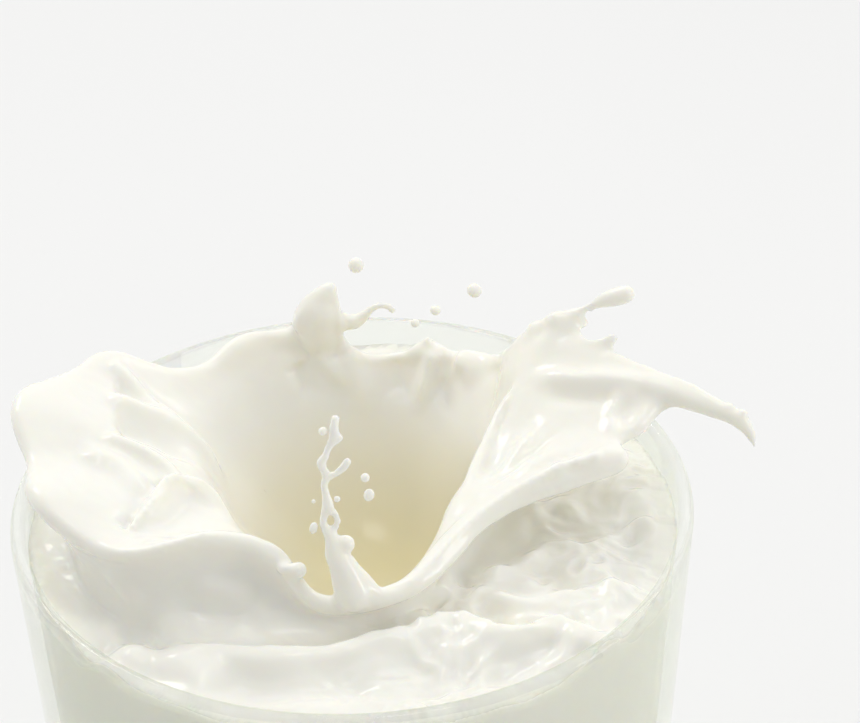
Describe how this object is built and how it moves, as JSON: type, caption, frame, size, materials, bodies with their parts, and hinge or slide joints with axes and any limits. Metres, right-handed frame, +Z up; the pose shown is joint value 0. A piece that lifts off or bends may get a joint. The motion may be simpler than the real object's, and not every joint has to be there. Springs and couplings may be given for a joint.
{
  "type": "glass of milk",
  "caption": "Round tapered tumbler full of milk caught mid-splash, with a crater, a thrown crown with wide wings, a horn and thin strands.",
  "frame": {"origin": "centre of the tumbler's flat foot, on the surface it stands on", "axes": "+Z up along the tumbler's axis; +X towards the splash's wide wing with the long tendril; +Y towards the horn at the splash's back"},
  "size_m": [0.0939, 0.0858, 0.1438],
  "materials": {
    "glass": "clear, polished, pale green where it is thick",
    "milk": "wet, glossy, creamy white"
  },
  "bodies": {
    "root": {"glass": "glass", "milk": "milk"}
  },
  "joints": []
}
